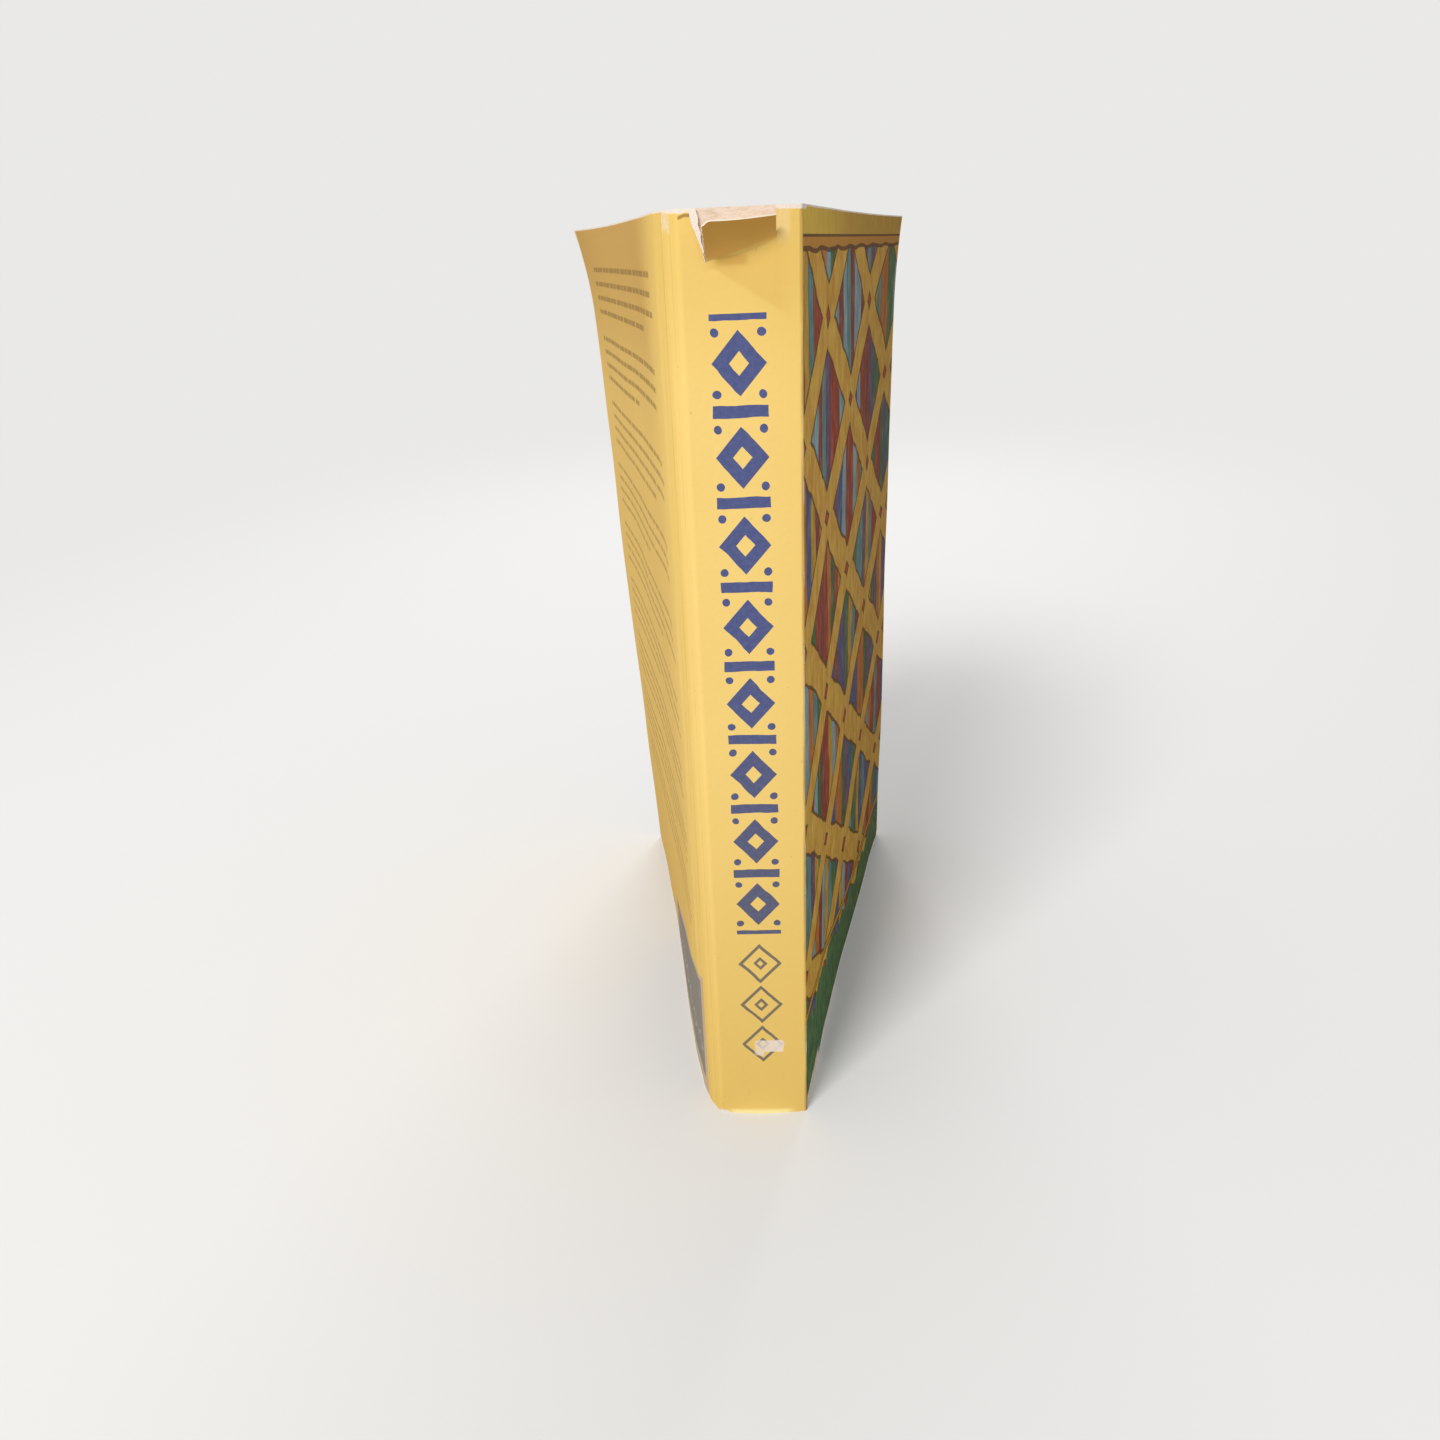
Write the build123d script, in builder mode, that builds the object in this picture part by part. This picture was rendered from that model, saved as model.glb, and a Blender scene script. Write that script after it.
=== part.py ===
from build123d import *
from math import cos, radians, sin
import os

# Paperback book that stands on its foot, spine towards -Y, with both covers a little open
# Millimetres. The origin is on the foot, midway across the spine and midway from spine to fore-edge
os.makedirs("parts", exist_ok=True)

# Trimmed size of the book
book_height = 229.0
book_width = 152.0
spine_width = 24.0

# Card cover and the hot-melt film between it and the leaves' backs
card = 0.35
glue = 0.5
side_glue = 6.5

# Shoulders: how far the hinge scores lie behind the spine, and how far outside its folds
hinge_in = 9.8
back_hinge_out = 5.2
front_hinge_out = 2.2

# The back shoulder is rounder, with a crease of its own between fold and score
back_crease_in = 4.1
back_crease_out = 2.9
back_fold_radius = 1.6
back_crease_radius = 5.0
front_fold_radius = 0.6

# Scores: the width of the pressed line, and how far outside the card a cover turns
score_gap = 0.3
score_air = 0.15

# Covers at rest: splay of each from the leaves, in degrees, at foot and head
back_foot_splay_angle = 9.9
back_head_splay_angle = 13.6
front_foot_splay_angle = 14.4
front_head_splay_angle = 14.5

# Warp of the covers: the hollow across each, and the curl of its head corner
back_hollow = 1.3
front_hollow = 1.0
back_curl = 3.2
front_curl = 1.6
curl_height = 26.0
curl_width = 52.0
blunt_radius = 1.2

# Torn lip at the head of the spine: two tears, and the fold between their ends
left_tear_top = -8.1
left_tear_foot = -6.7
right_tear = 6.9
left_tear_depth = 9.4
right_tear_depth = 5.6
left_lip_crease_angle = 36.0
right_lip_crease_angle = 15.0
left_lip_turn_angle = 57.0
right_lip_turn_angle = 60.0
lip_root = 0.8
lip_sections = 5

# Where things lie, worked out from the sizes above
spine_y = -book_width / 2
fore_y = book_width / 2
hinge_y = spine_y + hinge_in
back_hinge_x = -(spine_width / 2 + back_hinge_out)
front_hinge_x = spine_width / 2 + front_hinge_out
reach = book_width - hinge_in
past_trim = 10.0

# Plan of everything inside the card's outer face, run past the fore-edge
back_fold = (-spine_width / 2, spine_y)
front_fold = (spine_width / 2, spine_y)
back_crease = (-(spine_width / 2 + back_crease_out), spine_y + back_crease_in)
with BuildSketch() as outside_card:
    with BuildLine():
        Polyline(
            (back_hinge_x, fore_y + past_trim),
            (back_hinge_x, hinge_y),
            back_crease,
            back_fold,
            front_fold,
            (front_hinge_x, hinge_y),
            (front_hinge_x, fore_y + past_trim),
            close=True,
        )
    make_face()
    fillet(outside_card.vertices().sort_by_distance(back_fold)[0], back_fold_radius)
    fillet(outside_card.vertices().sort_by_distance(back_crease)[0], back_crease_radius)
    fillet(outside_card.vertices().sort_by_distance(front_fold)[0], front_fold_radius)
with BuildSketch() as inside_card:
    add(outside_card.sketch)
    offset(amount=-card, kind=Kind.INTERSECTION, mode=Mode.REPLACE)
with BuildSketch() as inside_glue:
    add(outside_card.sketch)
    offset(amount=-(card + glue), kind=Kind.INTERSECTION, mode=Mode.REPLACE)

# Leaves: one block, trimmed flush at the fore-edge
with BuildPart() as text_block:
    add(inside_glue.sketch)
    extrude(amount=book_height)
    split(bisect_by=Plane.XZ.offset(-fore_y), keep=Keep.TOP)
text_block.part.label = "text_block"

# Hot-melt film: over the leaves' backs and a short way round both sides
with BuildPart() as spine_adhesive:
    add(inside_card.sketch)
    extrude(amount=book_height)
    split(bisect_by=Plane.XZ.offset(-(spine_y + side_glue)), keep=Keep.TOP)
    add(inside_glue.sketch)
    extrude(amount=book_height, mode=Mode.SUBTRACT)
spine_adhesive.part.label = "spine_adhesive"


def fold_height(x):
    """Height of the slanting fold that the torn lip hangs on."""
    share = (x - left_tear_foot) / (right_tear - left_tear_foot)
    depth = left_tear_depth + (right_tear_depth - left_tear_depth) * share
    return book_height - depth


def lip_section(x):
    """Profile of the lip across its fold: a straight root, a crease, then an arc that curls outwards."""
    share = (x - left_tear_foot) / (right_tear - left_tear_foot)
    crease_angle = left_lip_crease_angle + (right_lip_crease_angle - left_lip_crease_angle) * share
    turn_angle = left_lip_turn_angle + (right_lip_turn_angle - left_lip_turn_angle) * share
    curl_angle = turn_angle - crease_angle
    bare_radius = (book_height - fold_height(x)) / radians(curl_angle)
    printed_radius = bare_radius - card
    centre = (printed_radius * cos(radians(crease_angle)), -printed_radius * sin(radians(crease_angle)))
    across_fold = Plane(origin=(x, spine_y, fold_height(x)), x_dir=(0, -1, 0), z_dir=(-1, 0, 0))
    with BuildSketch(across_fold) as section:
        with BuildLine():
            bare = CenterArc(centre, bare_radius, 180 - crease_angle, -curl_angle)
            printed = CenterArc(centre, printed_radius, 180 - crease_angle, -curl_angle)
            Line(printed @ 1, bare @ 1)
            Polyline(printed @ 0, (0, -lip_root), (-card, -lip_root), (-card, 0), bare @ 0)
        make_face()
    return section.sketch


# Card over the spine: panel, shoulders and glued hinge strips, with the torn lip at the head
with BuildPart() as spine_wrap:
    add(outside_card.sketch)
    extrude(amount=book_height)
    split(bisect_by=Plane.XZ.offset(-(hinge_y - score_gap / 2)), keep=Keep.TOP)
    add(inside_card.sketch)
    extrude(amount=book_height, mode=Mode.SUBTRACT)
    with BuildSketch(Plane.XZ.offset(-spine_y)):
        with BuildLine():
            Polyline(
                (left_tear_top, book_height),
                (left_tear_foot, fold_height(left_tear_foot)),
                (right_tear, fold_height(right_tear)),
                (right_tear, book_height),
                close=True,
            )
        make_face()
    extrude(amount=-card, mode=Mode.SUBTRACT)
    lip_step = (right_tear - left_tear_foot) / (lip_sections - 1)
    for number in range(lip_sections):
        add(lip_section(left_tear_foot + number * lip_step))
    loft()
spine_wrap.part.label = "spine_wrap"


def cover_point(hinge_out, along, splay_angle, hollow, curl, inset):
    """A point in plan on a cover of the -X side: along runs from 0 at its score to 1 at the fore-edge."""
    distance = score_gap / 2 + (reach - score_gap / 2) * along
    bent = max(0.0, distance - (reach - curl_width)) / curl_width
    outwards = curl * bent**2 - hollow * 4 * along * (1 - along) - score_air - inset
    axis_x = -(spine_width / 2 + hinge_out + score_air)
    x = axis_x - distance * sin(radians(splay_angle)) - outwards * cos(radians(splay_angle))
    y = hinge_y + distance * cos(radians(splay_angle)) - outwards * sin(radians(splay_angle))
    return (x, y)


def cover_section(height, hinge_out, splay_angles, hollow, head_curl):
    """Plan of a cover at one height: two matched curves, one card thickness apart."""
    splay_angle = splay_angles[0] + (splay_angles[1] - splay_angles[0]) * height / book_height
    curled = max(0.0, height - (book_height - curl_height)) / curl_height
    curl = head_curl * curled**2
    stations = [number / 8 for number in range(9)]
    with BuildSketch(Plane.XY.offset(height)) as section:
        with BuildLine():
            outer = Spline([cover_point(hinge_out, s, splay_angle, hollow, curl, 0) for s in stations])
            inner = Spline([cover_point(hinge_out, s, splay_angle, hollow, curl, card) for s in stations])
            Line(outer @ 0, inner @ 0)
            Line(outer @ 1, inner @ 1)
        make_face()
    return section.sketch


def blunt_corner(hinge_out, splay_angle, hollow):
    """What the worn far foot corner of a cover has lost, seen from its side."""
    y_end = cover_point(hinge_out, 1, splay_angle, hollow, 0, card / 2)[1]
    with BuildSketch(Plane.YZ) as spandrel:
        with Locations((y_end - blunt_radius, 0)):
            Rectangle(2 * blunt_radius, blunt_radius, align=(Align.MIN, Align.MIN))
        with Locations((y_end - blunt_radius, blunt_radius)):
            Circle(blunt_radius, mode=Mode.SUBTRACT)
    return spandrel.sketch


curl_start = book_height - curl_height
curl_steps = 8
section_heights = [0] + [curl_start + curl_height * number / curl_steps for number in range(curl_steps + 1)]

# Back cover: more open at the head than at the foot, hinged on the -X side
back_splay_angles = (back_foot_splay_angle, back_head_splay_angle)
with BuildPart() as back_cover:
    for height in section_heights:
        add(cover_section(height, back_hinge_out, back_splay_angles, back_hollow, back_curl))
    loft(ruled=True)
    add(blunt_corner(back_hinge_out, back_foot_splay_angle, back_hollow))
    extrude(amount=-book_width, mode=Mode.SUBTRACT)
back_cover.part.label = "back_cover"

# Front cover: nearly flat, lofted on the same side and mirrored to the +X side
front_splay_angles = (front_foot_splay_angle, front_head_splay_angle)
with BuildPart() as front_cover:
    for height in section_heights:
        add(cover_section(height, front_hinge_out, front_splay_angles, front_hollow, front_curl))
    loft(ruled=True)
    add(blunt_corner(front_hinge_out, front_foot_splay_angle, front_hollow))
    extrude(amount=-book_width, mode=Mode.SUBTRACT)
    mirror(about=Plane.YZ, mode=Mode.REPLACE)
front_cover.part.label = "front_cover"

export_step(text_block.part, "parts/text_block.step")
export_step(spine_adhesive.part, "parts/spine_adhesive.step")
export_step(spine_wrap.part, "parts/spine_wrap.step")
export_step(front_cover.part, "parts/front_cover.step")
export_step(back_cover.part, "parts/back_cover.step")
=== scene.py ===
"""Looks of a worn paperback book that stands on its foot with both covers a little open."""
import logging
import math
from collections.abc import Callable
from dataclasses import dataclass, field
from enum import Enum

import bpy
import numpy as np
from mathutils import Matrix, Vector


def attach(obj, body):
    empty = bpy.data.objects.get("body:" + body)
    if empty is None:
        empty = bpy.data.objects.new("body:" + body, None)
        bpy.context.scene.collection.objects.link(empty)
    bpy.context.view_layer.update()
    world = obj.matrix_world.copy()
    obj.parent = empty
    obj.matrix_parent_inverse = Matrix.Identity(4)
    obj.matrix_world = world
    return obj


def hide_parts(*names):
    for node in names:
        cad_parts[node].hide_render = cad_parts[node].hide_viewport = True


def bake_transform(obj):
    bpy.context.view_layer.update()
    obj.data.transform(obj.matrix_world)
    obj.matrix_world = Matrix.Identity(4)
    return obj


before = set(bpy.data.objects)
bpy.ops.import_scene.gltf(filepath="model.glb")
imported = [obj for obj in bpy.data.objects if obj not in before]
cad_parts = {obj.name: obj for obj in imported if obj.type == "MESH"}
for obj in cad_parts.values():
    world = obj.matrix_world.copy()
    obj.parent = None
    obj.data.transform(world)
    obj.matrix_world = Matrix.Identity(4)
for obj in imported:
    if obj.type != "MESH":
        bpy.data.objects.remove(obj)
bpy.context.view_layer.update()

MM = 0.001
FLAT_MAP = "FlatSheet"
LEAF_TONE = "leaf_tone"
log = logging.getLogger("book")


class Side(Enum):
    """The side of the spine that a cover hangs on, as a sign along X."""

    BACK = -1
    FRONT = 1


class Ground(Enum):
    """What a pattern is laid out on."""

    SHEET = "the flat sheet of card"
    OBJECT = "the object's own frame"


def linear(code: str) -> tuple[float, float, float, float]:
    """Turn an sRGB colour into the linear values that shaders take.

    Args:
        code: The colour as six hex digits after a hash mark.

    Returns:
        Linear red, green and blue, and an alpha of 1.
    """
    parts = [int(code[place:place + 2], 16) / 255 for place in (1, 3, 5)]
    red, green, blue = [p / 12.92 if p <= 0.04045 else ((p + 0.055) / 1.055) ** 2.4 for p in parts]
    return (red, green, blue, 1.0)


def stand(name: str, data: bpy.types.ID) -> bpy.types.Object:
    """Make an object of its data and put it in the scene.

    Args:
        name: The object's name.
        data: Its mesh, lamp or camera.

    Returns:
        The object.
    """
    thing = bpy.data.objects.new(name, data)
    bpy.context.scene.collection.objects.link(thing)
    return thing


def feed(tree: bpy.types.NodeTree, target: bpy.types.NodeSocket, value: object) -> None:
    """Link a value to an input, or write it there if it is a constant.

    Args:
        tree: The node tree of the input.
        target: The input.
        value: A socket, a Field or a constant.
    """
    source = value.socket if isinstance(value, Field) else value
    if isinstance(source, bpy.types.NodeSocket):
        tree.links.new(source, target)
    else:
        target.default_value = source


def add_node(tree: bpy.types.NodeTree, kind: str, *values: object, **settings: object) -> bpy.types.Node:
    """Add one node with its settings and links.

    Args:
        tree: The node tree that gets the node.
        kind: The node's type name.
        values: What goes into its inputs in order: a socket, a Field, a constant, or None to skip one.
        settings: Properties of the node.

    Returns:
        The new node.
    """
    node = tree.nodes.new(kind)
    for name, value in settings.items():
        setattr(node, name, value)
    for place, value in enumerate(values):
        if value is not None:
            feed(tree, node.inputs[place], value)
    return node


class Field:
    """A number that varies over a surface: a node's output that takes arithmetic."""

    def __init__(self, tree: bpy.types.NodeTree, socket: bpy.types.NodeSocket) -> None:
        """Wrap one output socket of a tree."""
        self.tree = tree
        self.socket = socket

    @classmethod
    def made(cls, tree: bpy.types.NodeTree, kind: str, *values: object, output: int | str = 0,
             **settings: object) -> "Field":
        """Add a node to a tree and wrap one of its outputs.

        Args:
            tree: The node tree that gets the node.
            kind: The node's type name.
            values: What goes into its inputs, as add_node takes it.
            output: The output's number or name.
            settings: Properties of the node.

        Returns:
            The output as a number that takes arithmetic.
        """
        return cls(tree, add_node(tree, kind, *values, **settings).outputs[output])

    def _calc(self, operation: str, *others: object) -> "Field":
        """Return this number after one arithmetic step with others."""
        return Field.made(self.tree, "ShaderNodeMath", self, *others, operation=operation)

    def __add__(self, other: object) -> "Field":
        """Return the sum."""
        return self._calc("ADD", other)

    def __sub__(self, other: object) -> "Field":
        """Return the difference."""
        return self._calc("SUBTRACT", other)

    def __mul__(self, other: object) -> "Field":
        """Return the product."""
        return self._calc("MULTIPLY", other)

    def __truediv__(self, other: object) -> "Field":
        """Return the quotient."""
        return self._calc("DIVIDE", other)

    def __gt__(self, other: object) -> "Field":
        """Return 1 where this is the larger, and else 0."""
        return self._calc("GREATER_THAN", other)

    def __lt__(self, other: object) -> "Field":
        """Return 1 where this is the smaller, and else 0."""
        return self._calc("LESS_THAN", other)

    def __neg__(self) -> "Field":
        """Return the number with its sign turned."""
        return self * -1.0

    def __abs__(self) -> "Field":
        """Return the size of the number."""
        return self._calc("ABSOLUTE")

    def most(self, other: object) -> "Field":
        """Return the larger of the two."""
        return self._calc("MAXIMUM", other)

    def least(self, other: object) -> "Field":
        """Return the smaller of the two."""
        return self._calc("MINIMUM", other)

    def whole(self) -> "Field":
        """Return the whole number below."""
        return self._calc("FLOOR")

    def part(self) -> "Field":
        """Return what is left above the whole number below."""
        return self._calc("FRACT")

    def wave(self) -> "Field":
        """Return the sine, for an angle in radians."""
        return self._calc("SINE")

    def root(self) -> "Field":
        """Return the square root."""
        return self._calc("SQRT")

    def power(self, exponent: float) -> "Field":
        """Return the number raised to a power."""
        return self._calc("POWER", exponent)

    def ramp(self, low: float, high: float) -> "Field":
        """Rise smoothly from 0 at low to 1 at high.

        Args:
            low: Where the ramp is 0. It may be the larger of the two.
            high: Where the ramp is 1.

        Returns:
            The ramp's value.
        """
        return Field.made(self.tree, "ShaderNodeMapRange", self, low, high, interpolation_type="SMOOTHSTEP")

    def near(self, centre: float, half: float, soft: float) -> "Field":
        """Return 1 within half of the centre, fading to 0 over a soft width."""
        return abs(self - centre).ramp(half + soft, half)


def seen_straight(tree: bpy.types.NodeTree) -> Field:
    """Tell where the camera, gloss or glass looks straight at a surface.

    Args:
        tree: The node tree that asks.

    Returns:
        1 there, and else 0.
    """
    path = add_node(tree, "ShaderNodeLightPath")
    seen = Field(tree, path.outputs["Is Camera Ray"])
    for name in ("Is Glossy Ray", "Is Transmission Ray"):
        seen = seen.most(Field(tree, path.outputs[name]))
    return seen


class Paint:
    """Node tree of one material, with the patterns that its finish is made of."""

    def __init__(self, name: str) -> None:
        """Start an empty material.

        Args:
            name: The material's name: what it is and how it was made.
        """
        self.material = bpy.data.materials.new(name)
        self.material.use_nodes = True
        self.tree = self.material.node_tree
        self.tree.nodes.clear()

    def add(self, kind: str, *values: object, **settings: object) -> bpy.types.Node:
        """Add a node to this material, as add_node does."""
        return add_node(self.tree, kind, *values, **settings)

    def vector(self, ground: Ground, stretch: tuple[float, float, float] = (1.0, 1.0, 1.0)
               ) -> bpy.types.NodeSocket:
        """Give the place of a point in millimetres, stretched along its axes.

        Args:
            ground: What the place is measured on.
            stretch: How much closer a pattern lies along each axis.

        Returns:
            The place, as a vector.
        """
        if ground is Ground.SHEET:
            place, unit = self.add("ShaderNodeUVMap", uv_map=FLAT_MAP).outputs[0], 1.0
        else:
            place, unit = self.add("ShaderNodeTexCoord").outputs["Object"], MM
        scale = tuple(share / unit for share in stretch)
        return self.add("ShaderNodeMapping", place, None, None, scale).outputs[0]

    def place(self, ground: Ground) -> list[Field]:
        """Return the three coordinates of a point in millimetres. On the sheet the third is 0."""
        parts = self.add("ShaderNodeSeparateXYZ", self.vector(ground))
        return [Field(self.tree, coordinate) for coordinate in parts.outputs]

    def patches(self, size: float, detail: float = 2.0, rough: float = 0.5,
                stretch: tuple[float, float, float] = (1.0, 1.0, 1.0),
                ground: Ground = Ground.SHEET) -> Field:
        """Lay soft random patches over the surface.

        Args:
            size: The patches' size in millimetres.
            detail: How many finer layers are added.
            rough: How strong the finer layers are.
            stretch: How much closer the patches lie along each axis.
            ground: What they are laid out on.

        Returns:
            A number from 0 to 1, near 0.5 on average.
        """
        return Field.made(self.tree, "ShaderNodeTexNoise", self.vector(ground, stretch), None, 1.0 / size,
                          detail, rough, output="Fac")

    def chance(self, column: Field, row: Field, seed: float) -> Field:
        """Return one random number from 0 to 1 for each pair of whole numbers."""
        cell = self.add("ShaderNodeCombineXYZ", column, row, seed)
        return Field.made(self.tree, "ShaderNodeTexWhiteNoise", cell.outputs[0], noise_dimensions="3D")

    def coats(self, base: object, *coats: tuple[object, object]) -> bpy.types.NodeSocket:
        """Lay coats of colour over a base, one after another.

        Args:
            base: The lowest colour, as a hex code or a socket.
            coats: For each coat, how much of it shows, and its colour as a hex code or a socket.

        Returns:
            The colour that is seen.
        """
        seen = base
        for share, colour in coats:
            node = self.add("ShaderNodeMix", data_type="RGBA")
            for place, value in ((0, share), (6, seen), (7, colour)):
                feed(self.tree, node.inputs[place], linear(value) if isinstance(value, str) else value)
            seen = node.outputs[2]
        return seen

    def palette(self, share: Field, colours: tuple[str, ...]) -> bpy.types.NodeSocket:
        """Pick one of several colours with equal chances.

        Args:
            share: A number from 0 to 1 that picks the colour.
            colours: Their hex codes.

        Returns:
            The colour picked.
        """
        node = self.add("ShaderNodeValToRGB", share)
        ramp = node.color_ramp
        ramp.interpolation = "CONSTANT"
        ramp.elements[0].color = linear(colours[0])
        ramp.elements[1].position = 1.0 / len(colours)
        ramp.elements[1].color = linear(colours[1])
        for number, code in enumerate(colours[2:], start=2):
            ramp.elements.new(number / len(colours)).color = linear(code)
        return node.outputs[0]

    def finish(self, colour: bpy.types.NodeSocket, rough: Field, bump: Field, depth: float,
               **surface: float) -> bpy.types.Material:
        """Close the material with its surface shader.

        Args:
            colour: The base colour.
            rough: The roughness.
            bump: A height from 0 to 1 that the light sees as relief.
            depth: The relief's depth in metres.
            surface: Constants for the shader's other sockets, by name with spaces as underscores.

        Returns:
            The finished material.
        """
        shader = self.add("ShaderNodeBsdfPrincipled")
        feed(self.tree, shader.inputs["Base Color"], colour)
        feed(self.tree, shader.inputs["Roughness"], rough)
        for name, value in surface.items():
            feed(self.tree, shader.inputs[name.replace("_", " ")], value)
        relief = self.add("ShaderNodeBump")
        feed(self.tree, relief.inputs["Distance"], depth)
        feed(self.tree, relief.inputs["Height"], bump)
        feed(self.tree, shader.inputs["Normal"], relief.outputs[0])
        self.add("ShaderNodeOutputMaterial", shader.outputs[0])
        return self.material


PrintLayer = Callable[[Paint, Field, Field, bpy.types.NodeSocket], bpy.types.NodeSocket]


@dataclass(frozen=True)
class PrintedCard:
    """Coated card, offset printed and film laminated, with the rubs and cracks of years on a shelf.

    The eye gets a warm, even print under a worn film with a faint, broad sheen, white card where the film
    and ink have gone along folds, edges and corners, and a slight orange peel. The sheen is a thin coat
    alone: the covers are seen at a grazing angle, where more would take the print's colour away.
    Lengths are millimetres on the flat sheet: across from the middle of the spine, and up from the foot.
    """

    height: float = 229.0
    fold: float = 12.0
    back_crease: float = 17.0
    back_score: float = 23.1
    mean_score: float = 22.6
    reach: float = 142.0
    left_tear: float = -6.7
    right_tear: float = 6.9
    tear_foot: float = 219.6
    lozenge_foot: float = 61.5
    lozenge_head: float = 210.3
    lozenge_pitch: float = 18.6
    ring_foot: float = 18.0
    ring_head: float = 58.7
    ring_pitch: float = 13.6
    line_foot: float = 47.3
    line_pitch: float = 4.0
    last_line: float = 42.0
    block_lines: float = 5.0
    lattice_wide: float = 69.0
    lattice_tall: float = 46.0
    stripe_wide: float = 6.2
    strap_edge: float = 0.36
    knot_edge: float = 0.455
    green_head: float = 31.0
    band_head: float = 33.4
    border_foot: float = 221.0
    border_head: float = 223.6
    fresh: str = "#F8D580"
    faded: str = "#F4CE7A"
    deep: str = "#EAC46A"
    dirt_and_shade: str = "#A97E40"
    core: str = "#F6E9DE"
    blue: str = "#525A88"
    slate: str = "#5F6176"
    grey: str = "#6C6A66"
    brown: str = "#5B3818"
    stripes: tuple[str, ...] = ("#A8382C", "#3E5F97", "#2F7A50", "#C9752B", "#5C9698", "#6B4F7A", "#D2A335",
                                "#8E3638", "#8DB6C2", "#3A6B45")

    def yellow(self, paint: Paint, across: Field, up: Field) -> bpy.types.NodeSocket:
        """Print the yellow ground, a little uneven, with dirt, specks and wear, and with painted shade and
        highlights.

        Args:
            paint: The material that is being painted.
            across: How far across the flat sheet.
            up: How far up the flat sheet.

        Returns:
            The colour so far.
        """
        cloud = paint.patches(38.0, 3.0)
        # Darker over the back cover, and more towards its head, where it is painted shade of the curled
        # corner
        aged = (-across).ramp(20.0, 60.0) * (up.ramp(175.0, 224.0) * 0.5 + 0.3)
        # The card above the two creases that meet in a V below the lip, lifted by TornLip.lifted, gets
        # painted shade
        above = (across + 4.4) * 0.527 + (up - 217.9) * 0.85
        above = above.least((across + 6.4) * 1.6 + (up - 217.9) * 0.714)
        raised = above.ramp(-0.3, 0.5) * abs(across).ramp(11.0, 6.0)
        smear = paint.patches(5.0, 5.0, 0.65, stretch=(1.0, 0.25, 1.0)).ramp(0.58, 0.8)
        # Painted shadow that the curled lip casts just below its fold
        under = (up + smear * 0.8).near(219.9, 0.5, 0.9) * (across + 1.7).near(0.0, 2.2, 1.6)
        # Dirt low down and in specks; high on the far back cover, painted shade of its curled head corner
        handled = (-across).ramp(60.0, 150.0) * up.ramp(150.0, 225.0) * 0.6
        dirt_and_curl_shade = up.ramp(34.0, 0.0) * 0.5 + handled + 0.12
        speck = paint.patches(1.3, 1.0, 0.4).ramp(0.77, 0.8)
        # Foot: rolled out, with a painted highlight. Head: painted shade of a sliver and under the lip, and a
        # pale rub
        rolled = up.ramp(1.9, 0.5) * across.near(-0.8, 6.6, 4.0)
        pale = across.near(8.4, 0.7, 1.0) * up.ramp(221.5, 225.0)
        # Painted shade on the lip's printed face, which looks down under its curl
        lip_underside_shade = across.near(0.1, 6.8, 0.2) * (up - across.ramp(-7.5, 9.0) * 3.6).ramp(219.8, 220.6)
        return paint.coats(
            self.fresh,
            (cloud.ramp(0.3, 0.75) * 0.35, self.faded),
            # Darker towards the foot
            (up.ramp(130.0, 0.0) * 0.85, self.deep),
            # Painted shade: darker towards the right fold and towards the head
            (across.ramp(-2.0, 13.0) * 0.3 + up.ramp(190.0, 222.0) * 0.6, self.deep),
            ((-across).ramp(14.0, 17.5) * 0.45, self.deep),
            (aged, "#C59A55"),
            (raised * 0.35, "#E3B860"),
            (under * 0.4, "#C98F3E"),
            (smear * dirt_and_curl_shade * 0.5, self.dirt_and_shade),
            (speck * 0.2, self.dirt_and_shade),
            # Painted shade of a small curled sliver at the head
            (self.sliver_shade(across, up) * 0.7, "#8C5A22"),
            # Painted highlight on the flared foot
            (rolled * 0.85, "#FFEDA6"),
            (pale * 0.3, "#FBE6BC"),
            (lip_underside_shade * 0.45, "#DE9A45"))

    def sliver_shade(self, across: Field, up: Field) -> Field:
        """Return where the head of the spine, left of the torn lip, gets a brown painted shade of a curled
        sliver.
        """
        bowed = up - across * 0.13 + abs(across + 10.3) * 0.2
        return across.near(-10.3, 1.1, 0.5) * bowed.near(229.2, 0.15, 0.3)

    def creases(self, paint: Paint, across: Field, up: Field, base: bpy.types.NodeSocket
                ) -> bpy.types.NodeSocket:
        """Darken the hairline creases along the rounded back shoulder and the front's fold: dirt and painted
        shade.

        Args:
            paint: The material that is being painted.
            across: How far across the flat sheet.
            up: Not used.
            base: The colour that it is printed on.

        Returns:
            The colour so far.
        """
        broken = paint.patches(2.0, 4.0, 0.7, stretch=(1.0, 0.06, 1.0))
        lines = across.near(11.85, 0.2, 0.45) * 0.9
        for place, strength in ((14.3, 0.35), (17.8, 0.6), (20.4, 0.45), (23.1, 0.8)):
            lines = lines.most((-across).near(place, 0.08, 0.16) * strength)
        return paint.coats(base, (lines * broken.ramp(0.36, 0.62) * 0.6, self.dirt_and_shade))

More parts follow.
